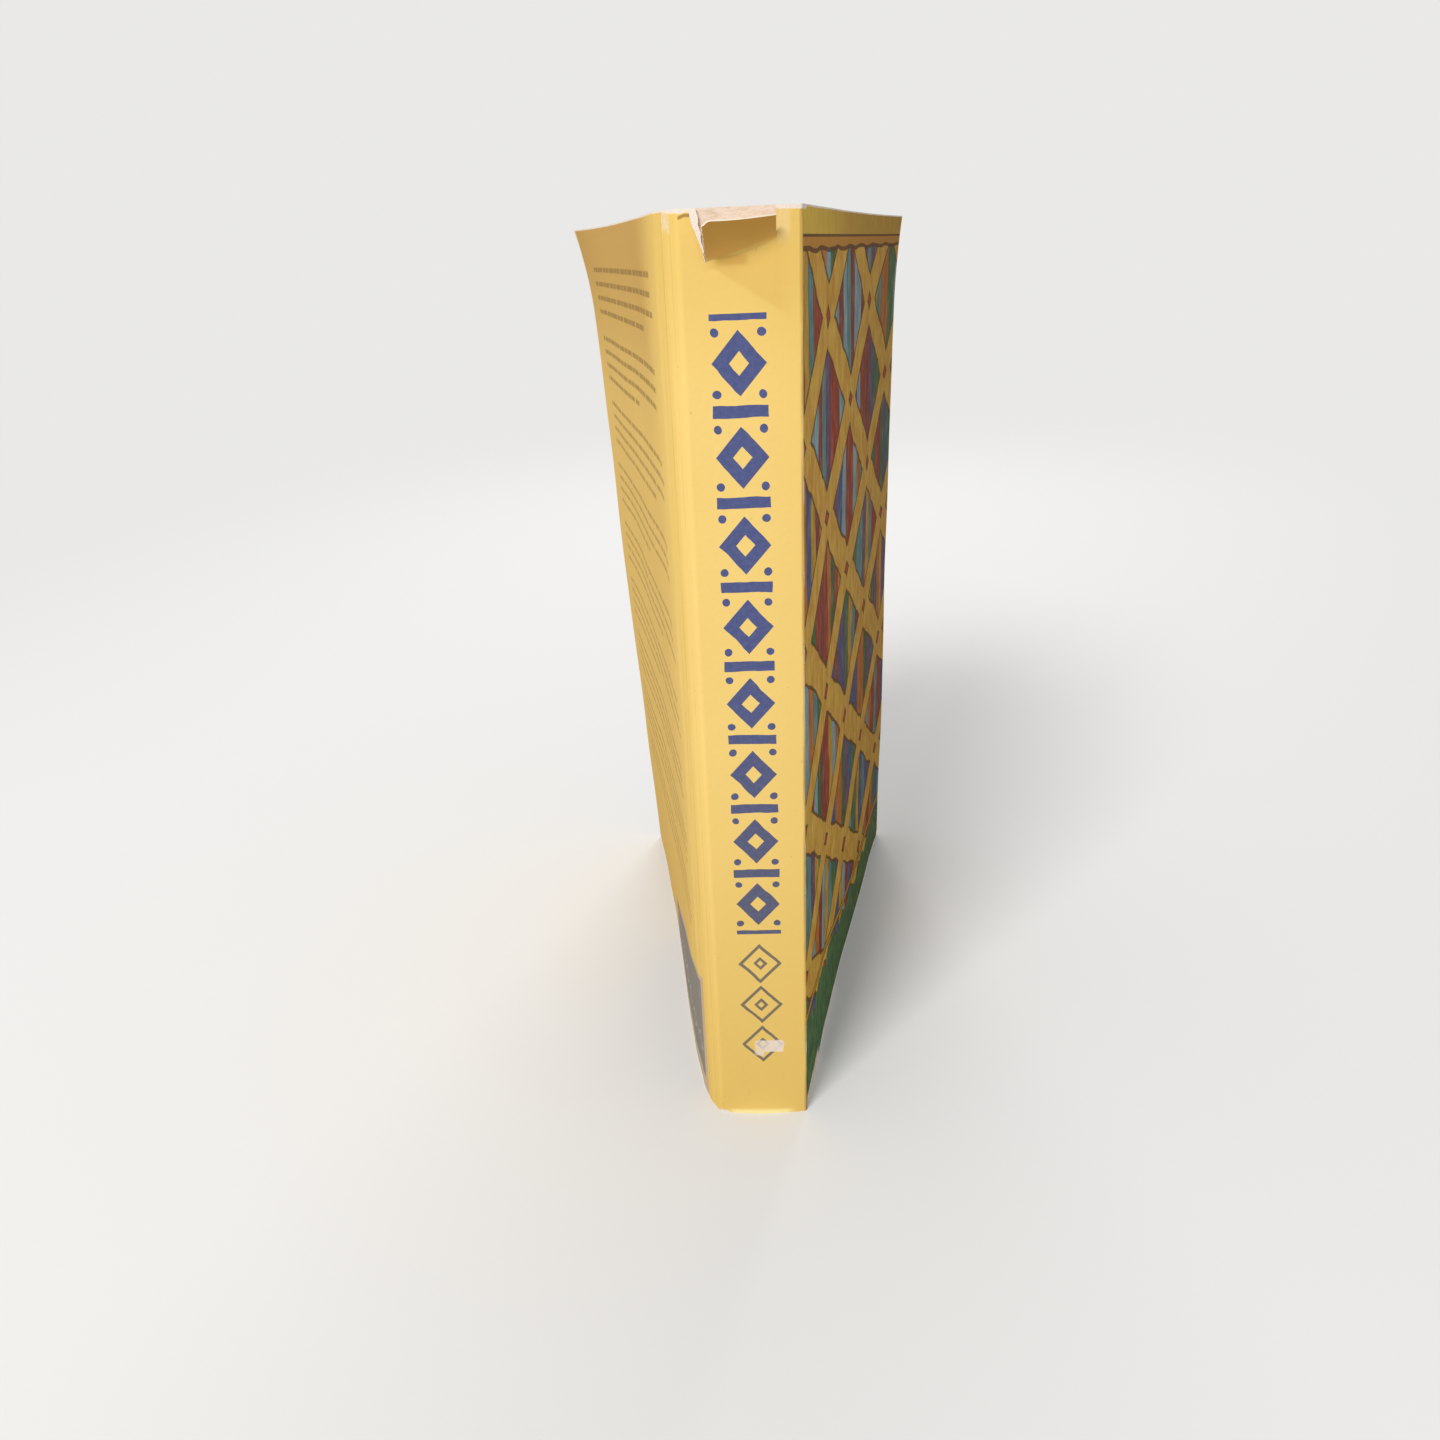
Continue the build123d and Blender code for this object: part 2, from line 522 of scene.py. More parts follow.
    def spine_ornament(self, paint: Paint, across: Field, up: Field,
                       base: bpy.types.NodeSocket) -> bpy.types.NodeSocket:
        """Print a running ornament down the spine: solid lozenges and bars above, outlined ones low down.

        Args:
            paint: The material that is being painted.
            across: How far across the flat sheet.
            up: How far up the flat sheet.
            base: The colour that it is printed on.

        Returns:
            The colour so far.
        """
        wobble = (paint.patches(6.0, 2.0) - 0.5) * 0.7
        off = abs(across + up * 0.0055 - 0.3 + wobble)
        rise = (up - self.lozenge_foot + wobble) / self.lozenge_pitch
        level = abs(rise.part() - 0.5) * self.lozenge_pitch
        lozenge = off / 5.6 + level / 6.4
        solid = (lozenge < 1.0) * (lozenge > 0.36)
        bar = (level > 8.1) * (off < 5.7)
        bead = ((off - 4.7) * (off - 4.7) + (level - 5.9) * (level - 5.9)) < 0.8
        upper = solid.most(bar).most(bead) * (up > self.lozenge_foot) * (up < self.lozenge_head)
        step = (up - self.ring_foot + wobble) / self.ring_pitch
        rung = abs(step.part() - 0.5) * self.ring_pitch
        ring = off / 5.7 + rung / 6.4
        outline = (ring < 1.0) * (ring > 0.8)
        core = (ring < 0.34) * (ring > 0.16)
        lower = outline.most(core) * (up > self.ring_foot) * (up < self.ring_head)
        speckle = paint.patches(1.1, 3.0).ramp(0.3, 0.8)
        ink = paint.coats(self.blue, (up.ramp(150.0, 60.0), self.slate), (speckle * 0.3, "#747AA0"))
        return paint.coats(base, (upper, ink), (lower * 0.9, self.grey))

    def back_print(self, paint: Paint, across: Field, up: Field,
                   base: bpy.types.NodeSocket) -> bpy.types.NodeSocket:
        """Print plain ragged bars in blocks on the back, and a bordered panel with a chain at the foot.

        Args:
            paint: The material that is being painted.
            across: How far across the flat sheet.
            up: How far up the flat sheet.
            base: The colour that it is printed on.

        Returns:
            The colour so far.
        """
        out = -across - self.back_score
        rise = (up - self.line_foot) / self.line_pitch
        line = rise.whole()
        height = rise - line
        ragged = paint.chance(line, line, 3.0)
        order = ((line + 2.0) / self.block_lines).part()
        block = order > 0.1
        last = order < 0.3
        start = ragged * 6.5 + 8.0 + last * (ragged * 34.0 + 18.0)
        dash = out / 7.5 + (out * 0.31 + line * 2.1).wave() * 0.2 + line * 0.37
        gap = dash.part().ramp(0.1, 0.14)
        inside = (out > start) * (out < 126.0) * (line > -0.5) * (line < self.last_line + 0.5)
        bars = block * inside * gap * height.near(0.53, 0.11, 0.1)
        top = (out + 5.5) * -0.3 + 43.0
        panel = (out > -4.0) * (out < 70.0) * (up < top)
        face = (out > -1.8) * (out < 68.0) * (up > 5.2) * (up < top - 1.8)
        chain = abs(((out - 28.0) / 10.0).part() - 0.5) * 2.3 + abs(up - 15.0) / 3.8
        drop = (chain < 1.0) * (chain > 0.6) * face
        return paint.coats(
            base,
            (bars * (up.ramp(150.0, 200.0) * 0.16 + 0.42), "#7F6236"),
            (panel, "#CDB393"),
            (face, "#918A80"),
            (drop * 0.6, "#B9B3AA"))

    def lattice(self, paint: Paint, across: Field, up: Field, drift: Field,
                wash: Field) -> bpy.types.NodeSocket:
        """Draw a lattice of straps by hand over coloured stripes.

        Args:
            paint: The material that is being painted.
            across: How far across the flat sheet.
            up: How far up the flat sheet.
            drift: A slow shift, up to 0.5 either way, that bends the drawing.
            wash: Patches from 0 to 1 of thin and thick ink.

        Returns:
            The lattice's colour.
        """
        out = across - self.fold + drift * 4.0
        high = up + drift * 4.0
        first = out / self.lattice_wide + high / self.lattice_tall
        second = out / self.lattice_wide - high / self.lattice_tall
        stripe = (out + high * 0.06) / self.stripe_wide
        column = paint.chance(first.whole(), second.whole(), 4.0) * 50.0 + stripe.whole()
        stripes = paint.palette(paint.chance(column.whole(), second.whole(), 9.0), self.stripes)
        gaps = stripe.part().near(0.0, 0.05, 0.03) * 0.8
        heart = abs(first.part() - 0.5).most(abs(second.part() - 0.5))
        knot = abs(first.part() - 0.5).least(abs(second.part() - 0.5))
        straps = paint.coats("#CF9434", (wash.ramp(0.3, 0.7), "#E8BE55"))
        lines = heart.near(self.strap_edge, 0.011, 0.005).most(knot.near(self.knot_edge, 0.009, 0.004))
        return paint.coats(
            stripes,
            (wash.ramp(0.45, 0.8) * 0.35, "#D9B070"),
            (gaps.most(wash.ramp(0.6, 0.36) * 0.35), "#4A2C14"),
            (heart > self.strap_edge, straps),
            (knot > self.knot_edge, "#B5482F"),
            (lines * 0.85, self.brown))

    def front_print(self, paint: Paint, across: Field, up: Field,
                    base: bpy.types.NodeSocket) -> bpy.types.NodeSocket:
        """Print the front: the lattice, with mottled green and a thin band below and a plain border above.

        Args:
            paint: The material that is being painted.
            across: How far across the flat sheet.
            up: How far up the flat sheet.
            base: The colour that it is printed on.

        Returns:
            The colour so far.
        """
        drift = paint.patches(16.0, 3.0) - 0.5
        wash = paint.patches(3.6, 5.0, 0.65, stretch=(1.0, 0.4, 1.0))
        drawn = self.lattice(paint, across, up, drift, wash)
        wave = (across * 0.3 + drift * 6.0).wave() * 1.8
        mottle = paint.patches(3.0, 4.0, stretch=(1.6, 0.5, 1.0)).ramp(0.38, 0.66)
        green = paint.coats("#3A6847", (mottle, "#5E8552"))
        low = up + across.ramp(self.fold, 120.0) * 13.0
        band = (low < self.band_head) * (low > self.green_head)
        fringed = paint.coats(drawn, ((low + wave).ramp(28.2, 27.6), green))
        edges = low.near(self.green_head, 0.2, 0.15).most(low.near(self.band_head, 0.2, 0.15))
        # Painted shade across the olive head zone, darker away from the spine, with patches of ink
        shaded = across.ramp(14.0, 90.0) * 0.6 + wash.ramp(0.3, 0.7) * 0.3
        olive = paint.coats("#EBC64F", (shaded, "#BE9238"))
        rules = up.near(self.border_head, 0.2, 0.15)
        rules = rules.most((up + wave * 0.15).near(self.border_foot, 0.35, 0.25))
        printed = paint.coats(
            drawn,
            (band, "#C9942E"),
            (low < self.green_head, fringed),
            (edges, self.brown),
            (up > self.border_foot, "#C98C35"),
            (up > self.border_head, olive),
            (rules * 0.9, self.brown),
            (0.12, "#8C7C5C"),
            # Painted shade: the front darkens away from the spine
            (across.ramp(24.0, 150.0) * 0.26, self.brown))
        return paint.coats(base, (across.ramp(self.fold - 0.2, self.fold + 0.5), printed))

    def wear(self, paint: Paint, across: Field, up: Field) -> Field:
        """Find how far the ink is rubbed through to the white card.

        Args:
            paint: The material that is being painted.
            across: How far across the flat sheet.
            up: How far up the flat sheet.

        Returns:
            0 where the print is whole, up to 1 where it is gone.
        """
        fine = paint.patches(0.9, 4.0, 0.7)
        patch = paint.patches(5.5, 3.0, 0.6, stretch=(1.0, 0.35, 1.0))
        spine_part = abs(across).ramp(21.0, 15.0)
        head = up.ramp(self.height - 0.6, self.height - 0.15)
        head = head.most(up.ramp(self.height - 1.7, self.height - 0.2) * spine_part)
        head = head * abs(across + 0.6).ramp(7.0, 7.6) * (self.sliver_shade(across, up) * -1.0 + 1.0)
        # The foot: scuffed to the core near the front's fold, hardly touched along the spine
        front_foot = up.ramp(2.1, 0.6) * across.near(38.0, 21.0, 22.0)
        front_foot = front_foot.most(up.ramp(7.5, 2.5) * across.near(22.0, 9.0, 8.0) * 0.85)
        front_foot = front_foot * across.ramp(self.fold + 0.1, self.fold + 1.2)
        foot = up.ramp(0.7, 0.1) * (spine_part * -0.75 + 1.0)
        trim = foot.most(head).most(front_foot)
        far = abs(across) - self.reach
        trim = trim.most(far.ramp(21.3, 22.4))
        corner = far.ramp(18.6, 22.4) * up.ramp(3.6, 0.4) * 1.4
        edge = (trim.most(corner) + (fine - 0.5) * 0.9 + (patch - 0.5) * 0.7).ramp(0.5, 0.85)
        # The folds, the back's second crease and both scores, where the film has cracked
        front_fold = across.near(self.fold + 0.15, 0.18, 0.3) * 0.85 + (patch - 0.58) * 1.8
        front_fold = front_fold + (fine - 0.5) * 0.6 - up.ramp(182.0, 205.0) * 0.4
        back_fold = (-across).near(self.fold, 0.3, 1.2) * 0.5 + (fine - 0.5) * 0.7 + (patch - 0.66) * 2.4
        crease = (-across).near(self.back_crease, 0.1, 0.3) * 0.7 + (fine - 0.5) * 0.6 + (patch - 0.6) * 1.8
        folds = front_fold.ramp(0.66, 1.05).most(back_fold.ramp(0.66, 1.1) * 0.6)
        folds = folds.most(crease.ramp(0.62, 1.0) * 0.6)
        score = abs(abs(across) - self.mean_score) + (fine - 0.5) * 1.6
        folds = folds.most(score.ramp(0.7, 0.1) * patch.ramp(0.52, 0.75) * 0.35)
        head_rub = (-across).near(15.8, 1.1, 1.6) * up.ramp(221.5, 226.5) + (fine - 0.5) * 0.9 + (patch - 0.5)
        edge = edge.most(self.foot_corner(across, up, fine))
        scuff = self.scuff(paint, across, up, fine)
        return edge.most(folds).most(head_rub.ramp(0.6, 1.2) * 0.75).most(scuff)

    def foot_corner(self, across: Field, up: Field, fine: Field) -> Field:
        """Return the bare spot on the spine's left foot corner, as seen from in front."""
        off = (across + 11.2) * (across + 11.2) * 0.3 + up * up * 0.8
        return (off + fine * 1.2).ramp(1.6, 0.9)

    def scuff(self, paint: Paint, across: Field, up: Field, fine: Field) -> Field:
        """Skin a patch low on the spine, with a ragged edge and a tail at its lower left.

        Args:
            paint: The material that is being painted.
            across: How far across the flat sheet.
            up: How far up the flat sheet.
            fine: Fine patches from 0 to 1 that leave specks of ink.

        Returns:
            How far the ink is gone, from 0 to 1.
        """
        bend = (paint.patches(2.6, 4.0, 0.7) - 0.5) * 2.4
        box = abs(across - 1.9 + bend).ramp(4.1, 3.6) * abs(up - 24.0 + bend * 0.6).ramp(2.2, 1.8)
        tail = abs(across + 0.9 + bend).ramp(1.5, 0.9) * abs(up - 21.4 + bend * 0.5).ramp(1.0, 0.5)
        streak = paint.patches(0.8, 3.0, 0.6, stretch=(0.25, 1.4, 1.0)).ramp(0.28, 0.4)
        worn = across.ramp(-3.0, 5.0) * 0.25 + streak * 0.5 + 0.15
        return box.most(tail) * worn * fine.ramp(0.2, 0.4)

    def torn_edge(self, paint: Paint, across: Field, up: Field) -> Field:
        """Tear the film back from the white core beside the tears at the head.

        Args:
            paint: The material that is being painted.
            across: How far across the flat sheet.
            up: How far up the flat sheet.

        Returns:
            How far the core is bare, from 0 to 1.
        """
        rag = (paint.patches(1.1, 3.0, 0.7, stretch=(1.0, 0.5, 1.0)) - 0.5) * 0.9
        lean = (up - self.tear_foot) * -0.149 - across + rag * 0.8 + self.left_tear
        wide = up.ramp(220.5, 227.5) * 1.3 + 0.15
        left = (lean < wide) * (lean > -0.6) * (up > self.tear_foot - 0.2) * (across < self.left_tear)
        right = (across + rag * 0.3).near(self.right_tear + 0.05, 0.08, 0.08) * up.ramp(224.3, 225.0) * 0.35
        return left.most(right)

    def material(self, name: str, layers: tuple[PrintLayer, ...]) -> bpy.types.Material:
        """Make the printed face of one piece of the cover.

        Args:
            name: The material's name.
            layers: The print methods that go over the yellow ground, in order.

        Returns:
            The material.
        """
        paint = Paint(name)
        across, up, _ = paint.place(Ground.SHEET)
        colour = self.yellow(paint, across, up)
        for layer in layers:
            colour = layer(paint, across, up, colour)
        rubbed = self.wear(paint, across, up).most(self.torn_edge(paint, across, up))
        cloudy = paint.patches(12.0, 4.0, 0.6)
        fibre = paint.patches(0.35, 3.0, 0.6)
        card = paint.coats(self.core, (fibre.ramp(0.3, 0.7) * 0.5, "#E3D2C0"))
        colour = paint.coats(colour, (rubbed, card))
        hair = paint.patches(1.0, 2.0, 0.5, stretch=(2.0, 0.05, 1.0)).ramp(0.66, 0.74)
        rough = cloudy.ramp(0.3, 0.8) * 0.12 + rubbed * 0.35 + hair * 0.1 + 0.45
        peel = paint.patches(1.4, 2.0, 0.4)
        relief = peel * 0.35 + fibre * rubbed * 0.5 - rubbed * 0.6 + cloudy * 0.8
        return paint.finish(colour, rough, relief, 0.00009, IOR=1.5, Specular_IOR_Level=0.0,
                            Coat_Weight=0.08, Coat_Roughness=0.28)


@dataclass(frozen=True)
class BareCard:
    """Uncoated back of the cover card: pressed wood fibre, off-white and slightly foxed.

    The eye gets a matt, faintly mottled surface that darkens to tan towards its handled edges.
    """

    tone: str = "#F3EDE1"
    aged: str = "#E2D6BE"

    def material(self) -> bpy.types.Material:
        """Make the material.

        Returns:
            The material, for the cover's inside and cut edges.
        """
        paint = Paint("bare_card_calendered")
        across, up, _ = paint.place(Ground.SHEET)
        fibre = paint.patches(0.5, 4.0, 0.65)
        cloud = paint.patches(30.0, 4.0, 0.6)
        rim = abs(across).ramp(128.0, 166.0).most(up.ramp(16.0, 0.0)).most(up.ramp(212.0, 229.0))
        aged = (rim * 0.55 + cloud.ramp(0.35, 0.8) * 0.5).least(1.0)
        colour = paint.coats(self.tone, (aged, self.aged), (fibre.ramp(0.35, 0.75) * 0.25, "#CDBB98"))
        return paint.finish(colour, cloud * 0.15 + 0.68, fibre, 0.00004, IOR=1.5, Diffuse_Roughness=0.4)


@dataclass(frozen=True)
class BookPaper:
    """Wood-free book paper, guillotined: cream leaves whose edges have yellowed.

    The eye gets a stack of fine lines of slightly different cream, browner towards the trimmed edges
    than on the leaves' faces, with soft speckles of foxing. The bands are drawn coarser than the real
    0.11 mm leaves, so that they show.
    """

    tone: str = "#EEE7D9"
    edge: str = "#DFD4BC"
    line: str = "#B4A488"
    spot: str = "#AE9570"

    def material(self) -> bpy.types.Material:
        """Make the material.

        Returns:
            The material, for all leaves.
        """
        paint = Paint("book_paper_guillotined")
        leaf = Field.made(paint.tree, "ShaderNodeAttribute", attribute_name=LEAF_TONE, output="Fac")
        _, behind, up = paint.place(Ground.OBJECT)
        grain = paint.patches(0.6, 4.0, 0.6, ground=Ground.OBJECT)
        cloud = paint.patches(9.0, 4.0, 0.6, stretch=(1.0, 0.4, 0.4), ground=Ground.OBJECT)
        band = paint.patches(0.6, 3.0, 0.7, stretch=(1.0, 0.004, 0.004), ground=Ground.OBJECT)
        rim = behind.ramp(68.0, 76.0).most(up.ramp(8.0, 0.0)).most(up.ramp(221.0, 229.0))
        aged = (rim * 0.7 + cloud.ramp(0.4, 0.8) * 0.2 + leaf * 0.3).least(1.0)
        foxing = paint.patches(2.2, 3.0, 0.6, ground=Ground.OBJECT).ramp(0.72, 0.8)
        colour = paint.coats(self.tone, (aged, self.edge), (band.ramp(0.5, 0.72) * rim * 0.35, self.line),
                             (foxing * rim * 0.5, self.spot))
        return paint.finish(colour, grain * 0.1 + 0.75, grain, 0.00003, IOR=1.45, Diffuse_Roughness=0.5)


@dataclass(frozen=True)
class HotMelt:
    """Hot-melt binding glue, rolled on: ivory, waxy, with drag ripples and crumbs of torn card.

    The eye gets a yellowish film with a soft wax sheen, thin streaks along the book's height where the
    roller dragged it, and paler crumbs left stuck to it.
    """

    tone: str = "#E2CCB2"
    thick: str = "#D3BA98"
    crumb: str = "#EBD6C6"

    def material(self) -> bpy.types.Material:
        """Make the material.

        Returns:
            The material, for the film over the leaves' backs.
        """
        paint = Paint("hot_melt_rolled")
        drag = paint.patches(0.8, 3.0, 0.6, stretch=(1.0, 1.0, 0.06), ground=Ground.OBJECT)
        cloud = paint.patches(4.0, 3.0, 0.6, ground=Ground.OBJECT)
        crumbs = paint.patches(0.9, 4.0, 0.7, stretch=(0.3, 1.0, 1.0), ground=Ground.OBJECT).ramp(0.3, 0.6)
        colour = paint.coats(self.tone, (cloud.ramp(0.35, 0.7) * 0.7, self.thick),
                             (crumbs * 0.85, self.crumb), (drag.ramp(0.55, 0.75) * 0.4, "#E8BFB0"))
        rough = crumbs * 0.35 + 0.38
        return paint.finish(colour, rough, drag + crumbs * 0.8, 0.00006, IOR=1.48)


@dataclass
class Shoulder:
    """How the card runs on one side of the book, in plan: over its folds to the score, then along the cover.

    Millimetres and degrees. Each fold is how far out from the middle of the spine it lies, how far behind
    the spine's face, and its radius.
    """

    side: Side
    folds: tuple[tuple[float, float, float], ...]
    score_out: float
    splay_foot: float
    splay_head: float
    hollow: float
    curl: float
    score_in: float = 9.8
    air: float = 0.15
    reach: float = 142.2
    curl_width: float = 52.0
    curl_height: float = 26.0
    height: float = 229.0
    bridge: float = 0.5
    points: np.ndarray = field(init=False)
    lengths: np.ndarray = field(init=False)

    def __post_init__(self) -> None:
        """Work out the shoulder's line, with its folds rounded, and the length along it."""
        corners = [(0.0, 0.0, 0.0), *self.folds, (self.score_out, self.score_in, 0.0)]
        line = [np.zeros(2)]
        for before, here, after in zip(corners, corners[1:], corners[2:]):
            corner = np.array(here[:2])
            arrive = corner - np.array(before[:2])
            arrive = arrive / np.linalg.norm(arrive)
            leave = np.array(after[:2]) - corner
            leave = leave / np.linalg.norm(leave)
            turn = math.acos(float(arrive @ leave))
            across = (leave - arrive * math.cos(turn)) / math.sin(turn)
            start = corner - arrive * here[2] * math.tan(turn / 2)
            for angle in np.linspace(0.0, turn, 25):
                line.append(start + here[2] * (arrive * math.sin(angle) + across * (1 - math.cos(angle))))
        line.append(np.array(corners[-1][:2]))
        self.points = np.array(line)
        steps = np.linalg.norm(np.diff(self.points, axis=0), axis=1)
        self.lengths = np.concatenate([[0.0], np.cumsum(steps)])

    @property
    def score(self) -> float:
        """How far along the card the score lies from the middle of the spine."""
        return float(self.lengths[-1])

    @property
    def width(self) -> float:
        """How far along the card the fore-edge lies from the middle of the spine."""
        return self.score + self.reach

    def glued(self, along: np.ndarray) -> np.ndarray:
        """Return points of the glued part in plan: how far out, and how far behind the spine."""
        return np.stack([np.interp(along, self.lengths, self.points[:, axis]) for axis in (0, 1)], axis=-1)

    def free(self, distance: np.ndarray, up: np.ndarray) -> np.ndarray:
        """Place points of the free cover in plan.

        Args:
            distance: How far from the score each point lies.
            up: How high.

        Returns:
            How far out from the middle of the spine, and how far behind it.
        """
        splay = np.radians(self.splay_foot + (self.splay_head - self.splay_foot) * up / self.height)
        share = (distance - self.air) / (self.reach - self.air)
        bent = np.maximum(0.0, distance - (self.reach - self.curl_width)) / self.curl_width
        curled = self.curl * (np.maximum(0.0, up - (self.height - self.curl_height)) / self.curl_height) ** 2
        outwards = curled * bent ** 2 - self.hollow * 4 * share * (1 - share) - self.air
        out = self.score_out + self.air + distance * np.sin(splay) + outwards * np.cos(splay)
        behind = self.score_in + distance * np.cos(splay) - outwards * np.sin(splay)
        return np.stack([out, behind], axis=-1)

    def place(self, along: np.ndarray, up: np.ndarray) -> np.ndarray:
        """Place points of the card's outer face in plan, smooth over the score.

        Args:
            along: How far along the card from the middle of the spine each point lies.
            up: How high.

        Returns:
            How far out from the middle of the spine, and how far behind it.
        """
        start, end = self.score - self.bridge, self.score + self.bridge
        glued = self.glued(np.minimum(along, start))
        free = self.free(np.maximum(along - self.score, self.bridge), up)
        here = self.glued(np.full_like(along, start))
        there = self.free(np.full_like(along, self.bridge), up)
        step, span = 0.1, end - start
        leave = (here - self.glued(np.full_like(along, start - step))) * span / step
        arrive = (self.free(np.full_like(along, self.bridge + step), up) - there) * span / step
        share = np.clip((along - start) / span, 0.0, 1.0)[..., None]
        bent = (here * (2 * share ** 3 - 3 * share ** 2 + 1) + leave * (share ** 3 - 2 * share ** 2 + share)
                + there * (3 * share ** 2 - 2 * share ** 3) + arrive * (share ** 3 - share ** 2))
        chosen = np.where((along < start)[..., None], glued, bent)
        return np.where((along > end)[..., None], free, chosen)


def bump_at(place: np.ndarray, centre: float, width: float) -> np.ndarray:
    """Return a smooth bump of height 1 at the centre."""
    return np.exp(-((place - centre) / width) ** 2)


@dataclass
class TornLip:
    """The flap of card at the head of the spine, torn down both sides and curled outwards (mm, degrees)."""

    left_top: float = -8.1
    left_foot: float = -6.7
    right: float = 6.9
    left_depth: float = 9.4
    right_depth: float = 5.6
    sag: float = 0.7
    left_crease: float = 31.0
    right_crease: float = 15.0
    left_turn: float = 52.0
    right_turn: float = 60.0
    height: float = 229.0
    card: float = 0.35
    lift: float = 0.45
    lift_rate: float = 0.28
    corner_droop: float = 0.1
    worn_corner: float = 0.9

    def share(self, across: np.ndarray) -> np.ndarray:
        """Return how far a point is from the left tear's foot to the right tear."""
        return np.clip((across - self.left_foot) / (self.right - self.left_foot), 0.0, 1.0)

    def fold(self, across: np.ndarray) -> np.ndarray:
        """Find the slanting fold that the lip hangs on.

        Args:
            across: Places across the flat sheet.

        Returns:
            The fold's height at each place.
        """
        share = self.share(across)
        depth = self.left_depth + (self.right_depth - self.left_depth) * share
        sagged = np.clip((share - 0.12) / 0.88, 0.0, 1.0) ** 0.8
        return self.height - depth - self.sag * np.sin(math.pi * sagged)

    def risen(self, up: np.ndarray, tear: float, depth: float) -> np.ndarray:
        """Return how far up its tear each height is, from 0 at the fold to 1 at the head."""
        return np.clip((up - self.fold(np.array(tear))) / depth, 0.0, 1.0)

    def left_tear(self, up: np.ndarray) -> np.ndarray:
        """Run the left tear up the card, ragged like torn fibre.

        Args:
            up: Places up the flat sheet.

        Returns:
            Where it runs across the sheet at each height.
        """
        rise = self.risen(up, self.left_foot, self.left_depth)
        rag = 0.12 * np.sin(up * 2.3) + 0.05 * np.sin(up * 6.1 + 1.0) + 0.02 * np.sin(up * 17.0)
        return self.left_foot + (self.left_top - self.left_foot) * rise + rag * np.minimum(1.0, rise * 6)

    def left_fray(self, up: np.ndarray) -> np.ndarray:
        """Return how far the lip's own left edge stands out of line at each height."""
        rise = self.risen(up, self.left_foot, self.left_depth)
        return 0.25 * rise + (0.07 * np.sin(up * 5.3) + 0.04 * np.sin(up * 13.0)) * np.minimum(1.0, rise * 6)

    def right_tear(self, up: np.ndarray) -> np.ndarray:
        """Return where the right tear runs at each height."""
        rise = self.risen(up, self.right, self.right_depth)
        return self.right + 0.07 * np.sin(up * 7.3) * np.minimum(1.0, rise * 6)

    def lifted(self, across: np.ndarray, up: np.ndarray) -> np.ndarray:
        """Lift the card round the lip off its glue, above two creases that meet in a V.

        Args:
            across: Places across the flat sheet.
            up: Places up the flat sheet.

        Returns:
            How far it stands out.
        """
        right = (across + 4.4) * 0.527 + (up - 217.9) * 0.85
        left = (across + 6.4) * -0.7 + (up - 217.9) * 0.714
        above = np.minimum(right, left + np.maximum(0.0, across + 5.6) * 4.0)
        above = (above + np.sqrt(above ** 2 + 0.12)) / 2
        fade = np.clip((11.6 - across) / 5.0, 0.0, 1.0) * np.clip((across + 11.6) / 3.5, 0.0, 1.0)
        return self.lift * (1.0 - np.exp(-self.lift_rate * above)) * fade

    def place(self, across: np.ndarray, up: np.ndarray) -> np.ndarray:
        """Place points of the lip's printed face.

        Args:
            across: Places across the flat sheet.
            up: Places up the flat sheet.

        Returns:
            The points, with the spine's face at 0 in depth.
        """
        share = self.share(across)
        fold = self.fold(across)
        start = np.radians(self.left_crease + (self.right_crease - self.left_crease) * share)
        end = np.radians(self.left_turn + (self.right_turn - self.left_turn) * share)
        end = end + self.corner_droop * np.maximum(0.0, 1.0 - share * 8.0) ** 2
        radius = (self.height - fold) / (end - start)
        angle = start + (up - fold) / radius
        inner = radius - self.card
        out = inner * (np.cos(start) - np.cos(angle))
        return np.stack([across, -out, fold + inner * (np.sin(angle) - np.sin(start))], axis=-1)


def spaced(*stops: tuple[float, float]) -> np.ndarray:
    """Place stations from stop to stop.

    Args:
        stops: Pairs of where a stretch ends and the step within it. The first pair's step isn't used.

    Returns:
        All stations, in order.
    """
    parts = [np.array([stops[0][0]])]
    for (begin, _), (end, step) in zip(stops, stops[1:]):
        count = max(1, round(abs(end - begin) / step))
        parts.append(np.linspace(begin, end, count + 1)[1:])
    return np.concatenate(parts)


def swell(across: np.ndarray, up: np.ndarray,
          waves: tuple[tuple[float, float, float, float], ...]) -> np.ndarray:
    """Add up sine waves over the flat sheet.

    Args:
        across: Places across the sheet.
        up: Places up the sheet.
        waves: Height, length across, length up and phase of each wave. A length may be negative.

    Returns:
        The height of the waves' sum at each place.
    """
    total = np.zeros_like(across)
    for size, wide, tall, phase in waves:
        total = total + size * np.sin(2 * math.pi * (across / wide + up / tall) + phase)
    return total


